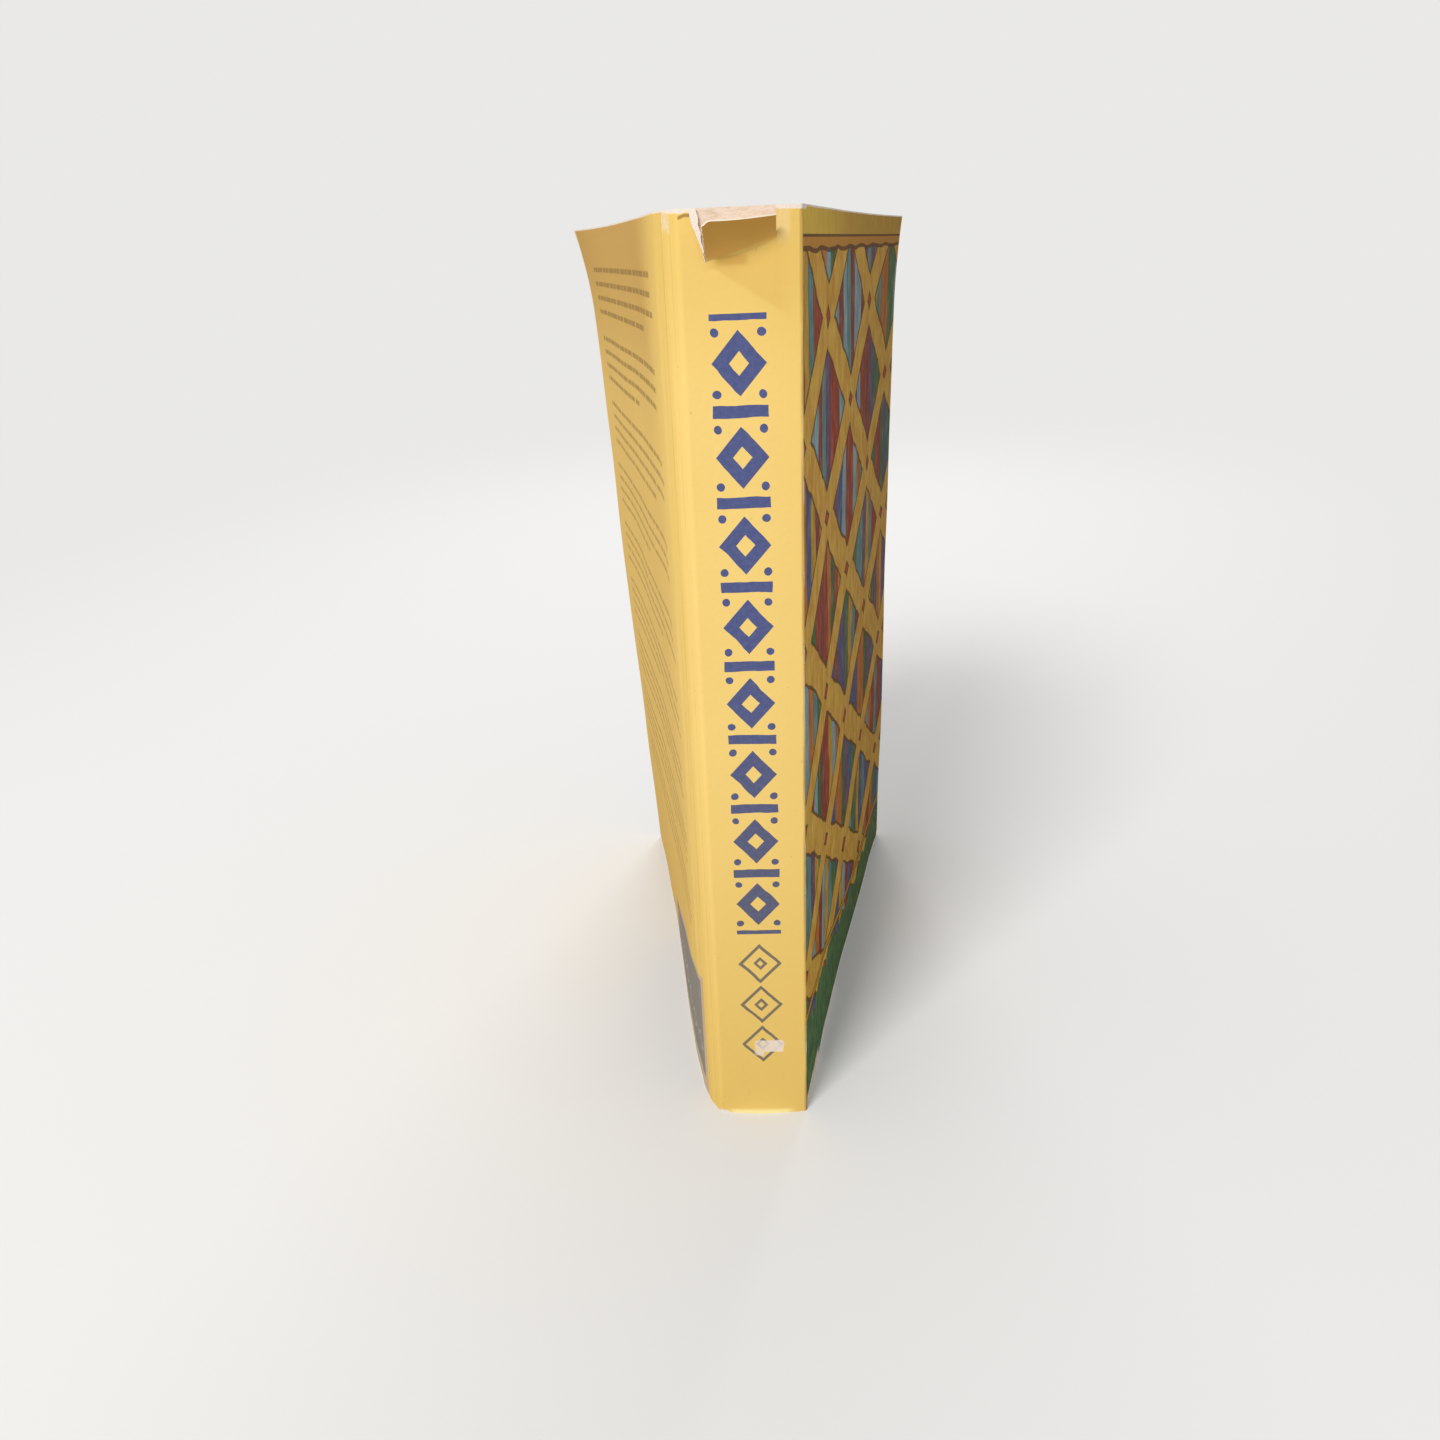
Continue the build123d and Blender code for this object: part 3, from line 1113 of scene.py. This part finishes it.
@dataclass
class CardCover:
    """The folded card: one sheet 0.35 mm thick, cut into a spine and two covers because the covers swing.

    Millimetres. Places on the flat sheet are how far across from the middle of the spine, towards the front
    cover, and how far up from the foot.
    """

    height: float = 229.0
    half_width: float = 76.0
    card: float = 0.35
    seam_in: float = 5.2
    blunt: float = 1.2
    groove: float = 0.13
    groove_width: float = 0.28
    glued_part: float = 17.0
    foot_flare: float = 0.8
    belly: float = 2.0
    belly_start: float = 13.0
    belly_end: float = 98.0
    belly_tall: float = 45.0
    lip: TornLip = field(default_factory=TornLip)
    back: Shoulder = field(default_factory=lambda: Shoulder(
        Side.BACK, folds=((12.0, 0.0, 1.6), (14.9, 4.1, 5.0)), score_out=17.2,
        splay_foot=9.9, splay_head=13.6, hollow=1.3, curl=3.2))
    front: Shoulder = field(default_factory=lambda: Shoulder(
        Side.FRONT, folds=((12.0, 0.0, 0.6),), score_out=14.2,
        splay_foot=14.4, splay_head=14.5, hollow=1.0, curl=1.6))

    def seam(self, shoulder: Shoulder) -> float:
        """Return how far across the seam lies, in the flat strip before the score."""
        return float(np.interp(self.seam_in, shoulder.points[:, 1], shoulder.lengths))

    def face(self, across: np.ndarray, up: np.ndarray) -> np.ndarray:
        """Place points of the sheet's outer face, before any dent or wave.

        Args:
            across: Places across the flat sheet.
            up: Places up the flat sheet.

        Returns:
            The points.
        """
        back = self.back.place(np.maximum(-across, 0.0), up)
        front = self.front.place(np.maximum(across, 0.0), up)
        out = np.where(across < 0, -back[..., 0], front[..., 0])
        behind = np.where(across < 0, back[..., 1], front[..., 1])
        return np.stack([out, behind - self.half_width, up], axis=-1)

    def lip_face(self, across: np.ndarray, up: np.ndarray) -> np.ndarray:
        """Return points of the torn lip's printed face."""
        return self.lip.place(across, up) - np.array([0.0, self.half_width, 0.0])

    def warp(self, across: np.ndarray, up: np.ndarray) -> np.ndarray:
        """Warp both faces: slack waves, a belly, lifted card and a flared foot.

        Args:
            across: Places across the flat sheet.
            up: Places up the flat sheet.

        Returns:
            How far they stand out.
        """
        reach = np.abs(across) - 24.0
        open_part = np.clip(reach / 20.0, 0.0, 1.0) ** 2
        head_corner = np.clip((reach - 80.0) / 60.0, 0.0, 1.0) * np.clip((up - 190.0) / 30.0, 0.0, 1.0)
        waves = ((0.16, 95.0, 140.0, 0.4), (0.1, 61.0, -83.0, 2.0), (0.05, 37.0, 44.0, 4.4))
        slack = (swell(across, up, waves) - 0.3) * open_part * (1.0 - head_corner)
        foot = self.foot_flare * np.exp(-up / 3.0) * np.maximum(0.0, 1.0 - (across / 11.4) ** 2)
        on_spine = np.where(np.abs(across) < self.glued_part, self.lip.lifted(across, up) + foot, 0.0)
        return slack + self.back_belly(across, up) + on_spine

    def back_belly(self, across: np.ndarray, up: np.ndarray) -> np.ndarray:
        """Swell the back cover's foot behind the score, and pull its far corner in.

        Args:
            across: Places across the flat sheet.
            up: Places up the flat sheet.

        Returns:
            How far it stands out.
        """
        past = np.maximum(0.0, -across - self.back.score)
        swollen = (1.0 - np.exp(-(past / self.belly_start) ** 2)) * (1.0 - past / self.belly_end)
        return self.belly * swollen * np.exp(-(up / self.belly_tall) ** 2)

    def relief(self, across: np.ndarray, up: np.ndarray) -> np.ndarray:
        """Press lines into the outer face alone: both scores, a crease and a pinch by the lip.

        Args:
            across: Places across the flat sheet.
            up: Places up the flat sheet.

        Returns:
            How far it stands out, so less than 0.
        """
        lines = ((-self.back.score, 1.0), (self.front.score, 1.0), (-self.glued_part, 0.8))
        pressed = sum(depth * bump_at(across, line, self.groove_width) for line, depth in lines)
        pinched = bump_at((across + 5.4) * 0.3 + (up - 218.2), 0.0, 0.3) * bump_at(across, -5.3, 1.1)
        return -self.groove * (pressed + 0.9 * pinched)

    def blunted(self, across: np.ndarray, up: np.ndarray) -> tuple[np.ndarray, np.ndarray]:
        """Pull the flat sheet in at its two far foot corners, as the worn card is.

        Args:
            across: Places across the flat sheet.
            up: Places up the flat sheet.

        Returns:
            The places after it, across and up.
        """
        width = np.where(across < 0, self.back.width, self.front.width)
        over = np.clip((np.abs(across) - width + self.blunt) / self.blunt, 0.0, 1.0)
        under = np.clip((self.blunt - up) / self.blunt, 0.0, 1.0)
        pulled = np.abs(across) - self.blunt * over * (1 - np.sqrt(1 - under ** 2 / 2))
        raised = up + self.blunt * under * (1 - np.sqrt(1 - over ** 2 / 2))
        return np.sign(across) * pulled, raised

    def solid(self, name: str, blocks: list[tuple[np.ndarray, np.ndarray, bool]],
              skins: tuple[bpy.types.Material, bpy.types.Material]) -> bpy.types.Object:
        """Make a closed sheet of card from blocks of its flat places.

        Args:
            name: The piece's name.
            blocks: Rows and columns of places across and up, and whether the block is the torn lip.
            skins: The printed face's material and the bare card's.

        Returns:
            The piece, with its flat places as a UV map.
        """
        index: dict[tuple[float, float, bool], int] = {}
        flat: list[tuple[float, float, bool]] = []
        quads = []
        for across, up, torn in blocks:
            ids = np.zeros(across.shape, int)
            for row in range(across.shape[0]):
                for column in range(across.shape[1]):
                    spot = across[row, column], up[row, column]
                    key = (round(float(spot[0]), 5), round(float(spot[1]), 5), torn and row > 0)
                    if key not in index:
                        index[key] = len(flat)
                        flat.append(key)
                    ids[row, column] = index[key]
            quads.extend(zip(ids[:-1, :-1].flat, ids[:-1, 1:].flat, ids[1:, 1:].flat, ids[1:, :-1].flat))
        places = np.array([(a, u) for a, u, _ in flat])
        torn = np.array([t for _, _, t in flat])
        across, up = self.blunted(places[:, 0], places[:, 1])
        outer, inner = self.layers(across, up, torn)
        count = len(flat)
        edges = {(a, b) for quad in quads for a, b in zip(quad, quad[1:] + quad[:1])}
        rim = [(a, b) for a, b in edges if (b, a) not in edges]
        faces = list(quads) + [tuple(v + count for v in reversed(quad)) for quad in quads]
        faces += [(b, a, a + count, b + count) for a, b in sorted(rim)]
        mesh = bpy.data.meshes.new(name)
        points = (np.concatenate([outer, inner]) * MM).tolist()
        mesh.from_pydata(points, [], [[int(v) for v in face] for face in faces])
        flat_map = mesh.uv_layers.new(name=FLAT_MAP)
        corners = np.zeros(len(mesh.loops), int)
        mesh.loops.foreach_get("vertex_index", corners)
        spots = np.stack([across, up], axis=-1)[corners % count]
        flat_map.data.foreach_set("uv", spots.astype(np.float32).ravel())
        for skin in skins:
            mesh.materials.append(skin)
        bare = np.ones(len(faces), int)
        bare[:len(quads)] = 0
        mesh.polygons.foreach_set("material_index", bare)
        mesh.polygons.foreach_set("use_smooth", np.ones(len(faces), bool))
        mesh.set_sharp_from_angle(angle=math.radians(50))
        return stand(name, mesh)

    def layers(self, across: np.ndarray, up: np.ndarray, torn: np.ndarray) -> tuple[np.ndarray, np.ndarray]:
        """Place the points of the sheet's two faces.

        Args:
            across: Places across the flat sheet.
            up: Places up the flat sheet.
            torn: Which of the places belong to the torn lip.

        Returns:
            The outer face's points and the inner face's.
        """
        def face(a: np.ndarray, u: np.ndarray) -> np.ndarray:
            """Return the right form's points."""
            return np.where(torn[:, None], self.lip_face(a, u), self.face(a, u))

        step = 0.02
        over = face(across + step, up) - face(across - step, up)
        rise = face(across, up + step) - face(across, up - step)
        normal = np.cross(over, rise)
        normal = normal / np.linalg.norm(normal, axis=-1, keepdims=True)
        lifted = np.where(torn, self.lip_lift(across), self.warp(across, up))
        plain = face(across, up) + normal * lifted[:, None]
        outer = plain + normal * np.where(torn, 0.0, self.relief(across, up))[:, None]
        inner = plain - normal * self.card
        for points in (outer, inner):
            points[:, 2] = np.clip(points[:, 2], 0.0, self.height)
        return outer, inner

    def lip_lift(self, across: np.ndarray) -> np.ndarray:
        """Return how far the lip's root stands out, so that it meets the lifted card at its fold."""
        return self.warp(across, self.lip.fold(across))

    def spine_blocks(self) -> list[tuple[np.ndarray, np.ndarray, bool]]:
        """Lay out the spine's flat places: the sheet up to the tears, the card beside them, and the lip.

        Returns:
            Places across and up, and whether the block is the lip, for each.
        """
        lip = self.lip
        left, right = -self.seam(self.back), self.seam(self.front)
        columns = [spaced((left, 0), (-15.2, 0.3), (-13.4, 0.2), (-10.6, 0.2), (lip.left_foot, 0.45)),
                   spaced((lip.left_foot, 0), (lip.right, 0.4)),
                   spaced((lip.right, 0), (11.3, 0.5), (12.7, 0.1), (right, 0.5))]
        below = spaced((0.0, 0), (3.0, 0.3), (40.0, 1.6), (200.0, 2.5), (211.0, 0.8),
                       (self.fold_low(), 0.35))
        blocks = []
        for group in columns:
            top = lip.fold(np.clip(group, lip.left_foot, lip.right))
            stretch = np.clip((below - 205.0) / (below[-1] - 205.0), 0.0, 1.0)[:, None]
            up = below[:, None] + stretch * (top - below[-1])[None, :]
            blocks.append((np.broadcast_to(group[None, :], up.shape), up, False))
        climb = np.linspace(0.0, 1.0, 21)[:, None]
        for number, group in enumerate(columns):
            top = lip.fold(np.clip(group, lip.left_foot, lip.right))[None, :]
            worn = lip.worn_corner * np.maximum(0.0, 1.0 - lip.share(group) * 9.0) ** 2 * (number == 1)
            up = top + climb * (self.height - worn[None, :] - top)
            across = np.broadcast_to(group[None, :], up.shape).copy()
            near = np.clip(1 - np.abs(across - lip.left_foot) / 2.5, 0.0, 1.0)
            if number == 0:
                across = across + near * (lip.left_tear(up) - lip.left_foot)
            if number == 1:
                across = across - near * lip.left_fray(up)
            if number > 0:
                near = np.clip(1 - np.abs(across - lip.right) / 2.0, 0.0, 1.0)
                across = across + near * (lip.right_tear(up) - lip.right)
            blocks.append((across, up, number == 1))
        return blocks

    def fold_low(self) -> float:
        """Return the height of the tear's lowest point."""
        return self.height - self.lip.left_depth

    def cover_blocks(self, shoulder: Shoulder) -> list[tuple[np.ndarray, np.ndarray, bool]]:
        """Lay out a cover's flat places, from its seam over the score to the fore-edge.

        Args:
            shoulder: The side that the cover hangs on.

        Returns:
            Places across and up of its one block, which is no lip.
        """
        score, width = shoulder.score, shoulder.width
        columns = spaced((self.seam(shoulder), 0), (score - 0.7, 0.5), (score + 0.7, 0.07),
                         (score + 4.0, 0.5), (width - 60.0, 2.2), (width - 3.0, 1.6), (width, 0.3))
        columns = columns * shoulder.side.value
        rows = spaced((0.0, 0), (2.4, 0.3), (200.0, 2.4), (226.0, 1.2), (self.height, 0.5))
        across, up = np.meshgrid(columns[::shoulder.side.value], rows)
        return [(across, up, False)]

    def build(self) -> list[bpy.types.Object]:
        """Make the spine and both covers, dressed; the spine is tied to the book block's body.

        Returns:
            The three pieces.
        """
        bare = BareCard().material()
        card = PrintedCard()
        spine_layers = (card.spine_ornament, card.back_print, card.creases, card.front_print)
        spine_skin = card.material("printed_card_laminated_spine", spine_layers)
        back_skin = card.material("printed_card_laminated_back", (card.back_print, card.creases))
        front_skin = card.material("printed_card_laminated_front", (card.front_print,))
        spine = self.solid("spine_card", self.spine_blocks(), (spine_skin, bare))
        back = self.solid("back_card", self.cover_blocks(self.back), (back_skin, bare))
        front = self.solid("front_card", self.cover_blocks(self.front), (front_skin, bare))
        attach(spine, "book_block")
        for piece, shoulder, body in ((back, self.back, "back_cover"), (front, self.front, "front_cover")):
            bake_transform(piece)
        for piece, node in ((spine, "spine_wrap"), (back, "back_cover"), (front, "front_cover")):
            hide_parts(node)
        return [spine, back, front]


@dataclass
class Leaves:
    """The book's leaves, made one by one between the two flared sides of the block (mm).

    The real book has about 205 leaves 0.11 mm thick. They are drawn as fewer, thicker ones, so that their
    edges show as lines.
    """

    count: int = 156
    height: float = 229.0
    spine_y: float = -76.0
    back_in: float = 0.87
    depth: float = 151.12
    back_half: float = 11.53
    back_flare_near: float = 2.58
    back_flare_far: float = 2.21
    front_half: float = 11.29
    front_flare: float = 2.03
    stations: int = 9
    crowding: float = 2.4
    thickness: float = 0.8
    trim: float = 0.28
    seed: int = 7

    def tree(self, paper: bpy.types.Material) -> bpy.types.NodeTree:
        """Build the Geometry Nodes tree that makes the leaves.

        Args:
            paper: The leaves' material.

        Returns:
            The tree, with the sizes as named inputs.
        """
        tree = bpy.data.node_groups.new("leaves_between_covers", "GeometryNodeTree")
        tree.interface.new_socket("Geometry", in_out="OUTPUT", socket_type="NodeSocketGeometry")
        count = tree.interface.new_socket("Leaves", in_out="INPUT", socket_type="NodeSocketInt")
        count.default_value = self.count
        for name in ("Height", "Depth", "Thickness share", "Trim spread"):
            tree.interface.new_socket(name, in_out="INPUT", socket_type="NodeSocketFloat")
        given = add_node(tree, "NodeGroupInput")
        leaves, height, depth, thick, trim = [Field(tree, socket) for socket in given.outputs[:5]]
        place = (Field.made(tree, "GeometryNodeInputIndex") + 0.5) / leaves
        at = add_node(tree, "ShaderNodeCombineXYZ", place, 0.0, 0.0)
        points = add_node(tree, "GeometryNodePoints", leaves, at.outputs[0])
        marked = points.outputs[0]
        for number, name in enumerate((LEAF_TONE, "leaf_trim", "leaf_head")):
            random = add_node(tree, "FunctionNodeRandomValue", data_type="FLOAT")
            random.inputs["Seed"].default_value = self.seed + number
            stored = add_node(tree, "GeometryNodeStoreNamedAttribute", marked, None, name, random.outputs[1])
            marked = stored.outputs[0]
        leaf = add_node(tree, "GeometryNodeMeshCube", (1.0, 1.0, 1.0), 2, self.stations, 2)
        size = add_node(tree, "ShaderNodeCombineXYZ", thick / leaves, 1.0, 1.0)
        placed = add_node(tree, "GeometryNodeInstanceOnPoints", marked, None, leaf.outputs[0])
        tree.links.new(size.outputs[0], placed.inputs["Scale"])
        real = add_node(tree, "GeometryNodeRealizeInstances", placed.outputs[0])
        position = add_node(tree, "GeometryNodeInputPosition")
        parts = add_node(tree, "ShaderNodeSeparateXYZ", position.outputs[0])
        share, along, rise = [Field(tree, socket) for socket in parts.outputs]
        along, rise = along + 0.5, rise + 0.5
        short, low = [Field.made(tree, "GeometryNodeInputNamedAttribute", name)
                      for name in ("leaf_trim", "leaf_head")]
        behind = along.power(self.crowding) * (depth - short * trim * along) + self.back_in
        bunch = add_node(tree, "ShaderNodeCombineXYZ", share * 26.0, along * 1.5, 0.0)
        noise = Field.made(tree, "ShaderNodeTexNoise", bunch.outputs[0], None, 1.0, 2.0)
        # Leaves in the middle of the block shift a little in bunches, and the outer ones stay
        middle = (share * (share * -1.0 + 1.0) * 4.0).least(1.0)
        share = share + (noise - 0.5) * middle * 0.018
        back = self.flare(behind, 0.85, 4.5, self.back_flare_near) + self.back_half
        back = back + self.flare(behind, 4.5, 9.96, self.back_flare_far)
        front = self.flare(behind, 0.85, 9.9, self.front_flare) + self.front_half
        x = share * (back + front) - back
        z = rise * (height - low * 0.12) + (low * 0.06) * (rise * -1.0 + 1.0)
        spot = add_node(tree, "ShaderNodeCombineXYZ", x * MM, (behind + self.spine_y) * MM, z * MM)
        moved = add_node(tree, "GeometryNodeSetPosition", real.outputs[0], None, spot.outputs[0])
        dressed = add_node(tree, "GeometryNodeSetMaterial", moved.outputs[0], None, paper)
        add_node(tree, "NodeGroupOutput", dressed.outputs[0])
        return tree

    def flare(self, behind: Field, start: float, end: float, rise: float) -> Field:
        """Return how much wider one side of the block gets between two distances behind the spine."""
        return Field.made(behind.tree, "ShaderNodeMapRange", behind, start, end, 0.0, rise)

    def build(self) -> bpy.types.Object:
        """Make the leaves as one plain mesh that rides on the block.

        Returns:
            The piece.
        """
        paper = BookPaper().material()
        tree = self.tree(paper)
        seed = stand("leaves_seed", bpy.data.meshes.new("leaves_seed"))
        modifier = seed.modifiers.new("leaves", "NODES")
        modifier.node_group = tree
        values = {"Leaves": self.count, "Height": self.height, "Depth": self.depth,
                  "Thickness share": self.thickness, "Trim spread": self.trim}
        for socket in tree.interface.items_tree:
            if socket.in_out == "INPUT":
                modifier[socket.identifier] = values[socket.name]
        scene_state = bpy.context.evaluated_depsgraph_get()
        mesh = bpy.data.meshes.new_from_object(
            seed.evaluated_get(scene_state), preserve_all_data_layers=True, depsgraph=scene_state)
        mesh.name = "leaves"
        bpy.data.objects.remove(seed)
        piece = stand("leaves", mesh)
        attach(piece, "book_block")
        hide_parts("text_block")
        return piece


@dataclass
class Studio:
    """Pale floor, soft lamps and the camera at the photograph's viewing angle (metres)."""

    floor_radius: float = 1.6
    floor_tone: str = "#D6D6D6"
    floor_bounce: str = "#969490"
    sky: float = 0.57
    backdrop: tuple[float, float, float] = (0.82, 0.815, 0.80)
    aim: tuple[float, float, float] = (0.0, 0.0, 0.12)
    camera_at: tuple[float, float, float] = (0.00074, -0.2891, 0.2220)
    camera_turn: tuple[float, float, float] = (2.27, 90.0 - 24.98, -2.49)
    lens: float = 25.3
    lamps: tuple[tuple[str, tuple[float, float, float], float, float], ...] = (
        ("front_softbox", (-0.95, -1.62, 1.85), 0.85, 50.5),
        ("back_softbox", (0.1, 1.2, 0.9), 0.8, 9.0))

    def floor(self) -> bpy.types.Object:
        """Lay a round floor that keeps the shadow and fades into the backdrop far away.

        Returns:
            The floor.
        """
        rings, spokes = 12, 64
        radii = self.floor_radius * np.linspace(0.0, 1.0, rings + 1)[1:] ** 2
        points = [(0.0, 0.0, 0.0)]
        points += [(r * math.cos(a), r * math.sin(a), 0.0) for r in radii
                   for a in np.linspace(0.0, 2 * math.pi, spokes, endpoint=False)]
        faces = [(0, 1 + a, 1 + (a + 1) % spokes) for a in range(spokes)]
        for ring in range(rings - 1):
            low = 1 + ring * spokes
            faces += [(low + a, low + spokes + a, low + spokes + (a + 1) % spokes, low + (a + 1) % spokes)
                      for a in range(spokes)]
        mesh = bpy.data.meshes.new("studio_floor")
        mesh.from_pydata(points, [], faces)
        paint = Paint("floor_paper_matt")
        x, y, _ = paint.place(Ground.OBJECT)
        distance = (x * x + y * y).root() * MM
        grain = paint.patches(3.0, 3.0, ground=Ground.OBJECT)
        seen = seen_straight(paint.tree)
        pale = paint.coats(self.floor_tone, (grain * 0.08, "#CFCEC9"))
        diffuse = paint.add("ShaderNodeBsdfDiffuse", paint.coats(self.floor_bounce, (seen, pale)))
        clear = paint.add("ShaderNodeBsdfTransparent")
        fade = paint.add("ShaderNodeMixShader", distance.ramp(0.3, 1.2), diffuse.outputs[0], clear.outputs[0])
        paint.add("ShaderNodeOutputMaterial", fade.outputs[0])
        mesh.materials.append(paint.material)
        piece = stand("studio_floor", mesh)
        return piece

    def world(self) -> None:
        """Fill the room with even light, and show a pale backdrop to the camera and to gloss."""
        world = bpy.data.worlds.new("studio_world")
        world.use_nodes = True
        bpy.context.scene.world = world
        tree = world.node_tree
        tree.nodes.clear()
        light = add_node(tree, "ShaderNodeBackground", (1.0, 0.985, 0.965, 1.0), self.sky)
        shown = add_node(tree, "ShaderNodeBackground", (*self.backdrop, 1.0), 1.0)
        both = add_node(tree, "ShaderNodeMixShader", seen_straight(tree), light.outputs[0], shown.outputs[0])
        add_node(tree, "ShaderNodeOutputWorld", both.outputs[0])

    def lamp(self, name: str, at: tuple[float, float, float], size: float, power: float) -> None:
        """Hang a soft square lamp that faces the middle of the book.

        Args:
            name: The lamp's name.
            at: Where it hangs.
            size: Its side.
            power: Its power in watts.
        """
        data = bpy.data.lights.new(name, "AREA")
        data.shape = "SQUARE"
        data.size = size
        data.energy = power
        lamp = stand(name, data)
        lamp.location = at
        lamp.rotation_euler = (Vector(self.aim) - Vector(at)).to_track_quat("-Z", "Y").to_euler()

    def camera(self) -> None:
        """Set up the camera a little above the book's middle, tilted down, as in the photograph."""
        data = bpy.data.cameras.new("photo_camera")
        data.lens = self.lens
        data.sensor_width = 36.0
        data.clip_start = 0.01
        camera = stand("photo_camera", data)
        place = Matrix.Translation(self.camera_at)
        for angle, axis in zip(self.camera_turn, "ZXZ"):
            place = place @ Matrix.Rotation(math.radians(angle), 4, axis)
        camera.matrix_world = place
        bpy.context.scene.camera = camera

    def build(self) -> None:
        """Set up everything around the object."""
        bpy.context.scene.view_settings.view_transform = "Standard"
        self.world()
        self.floor()
        for name, at, size, power in self.lamps:
            self.lamp(name, at, size, power)
        self.camera()


def main() -> None:
    """Build and dress every piece, then set the studio."""
    logging.basicConfig(level=logging.INFO, format="%(name)s: %(message)s")
    for piece in CardCover().build():
        log.info("%s: %d faces", piece.name, len(piece.data.polygons))
    leaves = Leaves().build()
    log.info("%s: %d faces", leaves.name, len(leaves.data.polygons))
    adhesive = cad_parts["spine_adhesive"]
    adhesive.data.materials.clear()
    adhesive.data.materials.append(HotMelt().material())
    log.info("spine_adhesive: given its hot-melt finish")
    Studio().build()


if __name__ == "__main__":
    main()
